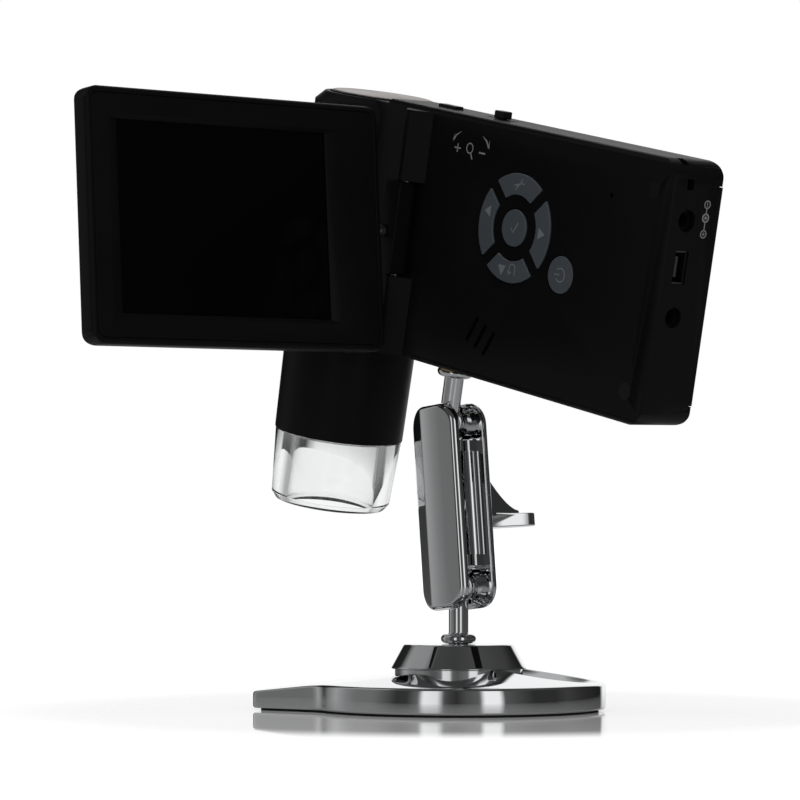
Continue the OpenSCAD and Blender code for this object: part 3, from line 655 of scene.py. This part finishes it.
def printed(name, strokes, place, ink):
    """Pad-printed signs. A stroke is a line of points with a half width at each. It
    gets a thickness of 0.04 through the face and a closed point at both ends."""
    grids = []
    for line, half in strokes:
        line = np.asarray(line, float)
        half = np.broadcast_to(half, len(line))[:, None]
        run = np.gradient(line, axis=0)
        run = run / np.linalg.norm(run, axis=1)[:, None]
        across = np.column_stack([-run[:, 1], run[:, 0]]) * half
        sides = [np.column_stack([line + sign * across, np.full(len(line), lift)])
                 for sign, lift in ((1, 0.02), (-1, 0.02), (-1, -0.02), (1, -0.02))]
        grid = np.stack(sides, 1)
        ends = [np.repeat([[*line[k], 0.0]], 4, 0)[None] for k in (0, -1)]
        grids.append(place(np.concatenate([ends[0], grid, ends[1]])))
    sign = surface(name, *grids)
    sign.data.materials.append(ink)
    return sign


def ring_stroke(x, y, radius_x, radius_y, start=0, end=360, half=0.14):
    """A round or oval line, from one angle to another."""
    a = np.radians(np.linspace(start, end, 28))
    return np.column_stack([x + radius_x * np.cos(a), y + radius_y * np.sin(a)]), half


def filled(tip, left, right):
    """A solid triangle: a stroke from the middle of one side to the tip, as wide as
    the triangle at each end."""
    tip, left, right = np.array(tip), np.array(left), np.array(right)
    return np.array([(left + right) / 2, tip]), np.array([np.linalg.norm(left - right) / 2, 0.01])


def on_front(points):
    """Signs on the front face: across, up, and out of the face."""
    return in_head(np.stack([points[..., 0], -10.4 - points[..., 2], points[..., 1]], -1))


def on_end(points):
    """Signs on the connector end: back, up, and out of the face."""
    return in_head(np.stack([124.3 + points[..., 2], points[..., 0], points[..., 1]], -1))


pale_ink = moulded("pale_ink", (0.2, 0.2, 0.21), 0.5, 4000, 2e-6, 0.15, 0.2)
zoom_signs = printed("zoom_signs", [
    ([(44.05, 54.26), (46.45, 54.26)], 0.17), ([(45.25, 55.3), (45.25, 53.2)], 0.17),
    ring_stroke(49.9, 54.75, 1.18, 1.2), ([(50.4, 53.6), (51.25, 52.2)], 0.19),
    ([(53.55, 54.2), (55.9, 54.2)], 0.2),
    ([(43.24, 55.79), (43.57, 57.46)], [0.2, 0.02]),
    ([(43.24, 55.79), (44.2, 57.3), (46.1, 58.42)], [0.2, 0.16, 0.02]),
    ([(57.0, 55.68), (56.97, 57.59)], [0.2, 0.02]),
    ([(57.0, 55.68), (55.9, 57.3), (54.19, 58.33)], [0.2, 0.22, 0.02])], on_front, pale_ink)
polarity = printed("polarity_sign", [
    ring_stroke(0.42, 52.82, 0.85, 0.85), ring_stroke(0.4, 49.7, 0.9, 0.9, half=0.2),
    ring_stroke(0.4, 45.95, 0.85, 0.85), ring_stroke(0.4, 49.7, 0.2, 0.2, half=0.2),
    ([(0.42, 51.95), (0.4, 50.6)], 0.14), ([(0.4, 48.8), (0.4, 46.8)], 0.14),
    ([(0.42, 52.4), (0.42, 53.25)], 0.12), ([(0.4, 45.53), (0.4, 46.38)], 0.12),
    ([(-0.03, 45.95), (0.83, 45.95)], 0.12)], on_end, pale_ink)
for sign in (zoom_signs, polarity):
    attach(sign, "microscope")


# ---- Keys ------------------------------------------------------------------------
# Four arc keys round a round centre key, and the power key, moulded in smoky grey
# rubber-like plastic with printed signs.
key_grey = moulded("smoky_key", (0.055, 0.065, 0.075), 0.38, 2500, 3e-6, 0.12, 0.5)
for node in ("key_up", "key_right", "key_down", "key_left", "key_ok", "key_power"):
    finished(node, 0.25, key_grey, segments=3)
key_ink = moulded("key_ink", (0.14, 0.15, 0.16), 0.5, 4000, 2e-6, 0.15, 0.2)
bow = np.radians(np.linspace(-35, 215, 16)[3:13])
bow = np.column_stack([71.6 - 1.05 * np.cos(bow), 28.7 + 1.05 * np.sin(bow)])
hook = np.vstack([[(70.55, 27.2)], bow, [(72.7, 27.0)]])
for name, strokes, body in (
        ("up_key_sign", [
            ([(68.8, 47.3), (69.6, 48.35), (70.4, 48.95), (71.2, 50.3)], [0.14, 0.2, 0.2, 0.14]),
            ([(68.3, 48.5), (69.5, 48.7), (70.55, 49.2), (72.05, 49.15)],
             [0.14, 0.18, 0.18, 0.14])],
         "up_key"),
        ("left_key_sign", [filled((58.65, 40.95), (60.8, 42.4), (60.8, 39.6))], "left_key"),
        ("right_key_sign", [filled((81.6, 38.4), (79.25, 39.9), (79.25, 37.0))], "right_key"),
        ("down_key_sign", [
            filled((67.75, 26.5), (66.35, 28.95), (69.15, 28.95)), (hook, 0.13),
            ([(70.55, 27.1), (69.9, 27.95)], 0.13), ([(70.55, 27.1), (71.3, 27.75)], 0.13)],
         "down_key"),
        ("centre_key_sign", [([(69.1, 38.2), (70.0, 37.2), (71.6, 39.8)], 0.16)], "centre_key"),
        ("power_key_sign", [ring_stroke(89.15, 30.06, 1.6, 1.6, -140, 140, 0.15),
                            ([(87.0, 30.06), (88.85, 30.06)], 0.15)], "power_key")):
    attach(printed(name, strokes, on_front, key_ink), body)
dress(rubber, "key_mat")


# ---- Boards and battery ----------------------------------------------------------
# The electronics inside, seen only where the body is open.
solder_green = moulded("solder_green", (0.01, 0.09, 0.04), 0.35, 900, 1e-5)
film_blue = moulded("cell_film", (0.06, 0.09, 0.2), 0.3, 400, 2e-5)
dress(solder_green, "main_board", "control_board", "sensor_board", "led_board")
dress(steel, "dome_switches")
dress(film_blue, "battery")


# ---- Top controls ----------------------------------------------------------------
# A snapshot button and a brightness slider on the body's upper edge.
for node in ("snapshot_button", "slider_knob"):
    finished(node, 0.3, trim_black, segments=3)


# ---- Focus wheel -----------------------------------------------------------------
# A moulded black wheel with a knurled rim, and a brushed metal disc glued into its
# top, turned with fine rings.
WHEEL_STEPS, WHEEL_R, KNURL_DEPTH = 480, 13.3, 0.22
turn = np.linspace(0, 2 * np.pi, WHEEL_STEPS, endpoint=False)
rim = rounded([
    (2.0, 60.0, 0), (2.0, 57.4, 0), (4.5, 57.4, 0), (4.5, 60.4, 0), (11.8, 60.4, 0),
    (11.8, 57.4, 0), (14.2, 57.4, 0.2), (14.2, 58.4, 0.2), (WHEEL_R, 58.4, 0),
    (WHEEL_R, 58.8, 0), (WHEEL_R, 61.2, 0), (WHEEL_R, 61.75, 0.3), (12.75, 61.95, 0.15),
    (12.7, 61.7, 0.1), (2.0, 61.7, 0)], 4)
knurled = ((np.abs(rim[:, 0] - WHEEL_R) < 0.1) & (rim[:, 1] > 58.7))[:, None]
reach = rim[:, :1] - knurled * KNURL_DEPTH * np.abs(np.sin(40 * turn))
wheel = surface("focus_wheel_rim", in_head(np.stack([
    reach * np.cos(turn), reach * np.sin(turn),
    np.repeat(rim[:, 1:], WHEEL_STEPS, 1)], -1)), wrap_v=True)
wheel.data.materials.append(trim_black)
disc = revolve("focus_wheel_disc", rounded([
    (0, 61.6, 0), (12.65, 61.6, 0.1), (12.65, 62.0, 0.12), (12.2, 62.1, 0.2),
    (11.4, 62.02, 1.0), (0, 62.02, 0)]), in_head, 160)
wheel_metal = plated("brushed_wheel", (0.42, 0.37, 0.35), 0.34, 0.1, 0.1)
metal = wheel_metal.node_tree
spot = add_node(metal, "TexCoord")
centred = add_node(metal, "Mapping", {
    "Vector": spot.outputs["Object"], "Location": Vector(HEAD_AT * MM),
    "Rotation": Matrix(HEAD_TURN.tolist()).to_euler()}, vector_type="TEXTURE")
flat = add_node(metal, "VectorMath", {0: centred.outputs[0], 1: (1, 1, 0)}, operation="MULTIPLY")
from_axis = add_node(metal, "VectorMath", {0: flat.outputs[0]}, operation="LENGTH")
rings = add_node(metal, "TexNoise", {"W": from_axis.outputs["Value"], "Scale": 9000, "Detail": 3},
                 noise_dimensions="1D")
brushed = add_node(metal, "Bump", {"Distance": 1.2e-5, "Height": rings.outputs["Fac"]})
metal.links.new(brushed.outputs[0], metal.nodes["Principled BSDF"].inputs["Normal"])
disc.data.materials.append(wheel_metal)
for piece in (wheel, disc):
    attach(piece, "focus_knob")
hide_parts("focus_wheel")
dress(steel, "focus_screw")
dress(trim_black, "wheel_bearing", "guide_tube", "lens_carriage")


# ---- Tube and clear nose ---------------------------------------------------------
# The black tube holds the light ring. The clear nose below it is turned acrylic.
tube = revolve("lens_tube_turned", rounded([
    (15.4, -26.2, 0.1), (16.6, -26.2, 0.25), (16.95, -0.3, 0.1), (14.9, -0.3, 0), (14.9, 6, 0.2),
    (13.05, 6, 0), (13.05, -4, 0), (15.4, -4, 0)]), in_head, 128, wrap_v=True)
tube.data.materials.append(body_black)
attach(tube, "microscope")
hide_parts("lens_tube")


def clear(name, colour, roughness, refraction):
    """Clear plastic or glass with a little cloud on its polish."""
    material, tree, shader, marks = shaded(name, touch_marks)
    shader.inputs["Base Color"].default_value = (*colour, 1)
    shader.inputs["Transmission Weight"].default_value = 1.0
    shader.inputs["IOR"].default_value = refraction
    cloudy = add_node(tree, "Math", {0: marks.outputs["Film"], 1: 0.03, 2: roughness},
                      operation="MULTIPLY_ADD")
    tree.links.new(cloudy.outputs[0], shader.inputs["Roughness"])
    return material


acrylic = clear("clear_acrylic", (0.97, 0.98, 0.98), 0.01, 1.49)
nose = revolve("nose_turned", rounded([
    (11.1, -43.3, 0.2), (12.1, -44.5, 0.2), (14.2, -44.5, 0.3), (15.4, -42.9, 0.6),
    (16.4, -26.25, 0.1), (15.35, -26.25, 0), (15.35, -24.0, 0), (13, -24.0, 0),
    (13, -26.2, 0.2), (11.1, -27.2, 0.3)]), in_head, 128, wrap_v=True)
nose.data.materials.append(acrylic)
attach(nose, "microscope")
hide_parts("diffuser")
dress(acrylic, "leds")
dress(clear("lens_glass", (0.95, 0.97, 1.0), 0.0, 1.6), "lens")


# ---- Hinge -----------------------------------------------------------------------
# A block on two steel pins carries the lid's swivel shaft.
finished("hinge_block", 0.3, body_black, segments=3)
dress(steel, "hinge_pins", "swivel_shaft", "shaft_bracket")


# ---- Lid -------------------------------------------------------------------------
# The screen's shell, its bezel, the black glass over the display, and the display.
for node in ("lid_back", "lid_bezel"):
    finished(node, 0.2, body_black)
screen_black = moulded("screen_black", (0.0012, 0.0012, 0.0014), 0.1, 400, 0, 0.1, 0.15)
dress(screen_black, "lcd_window", "lcd_panel")
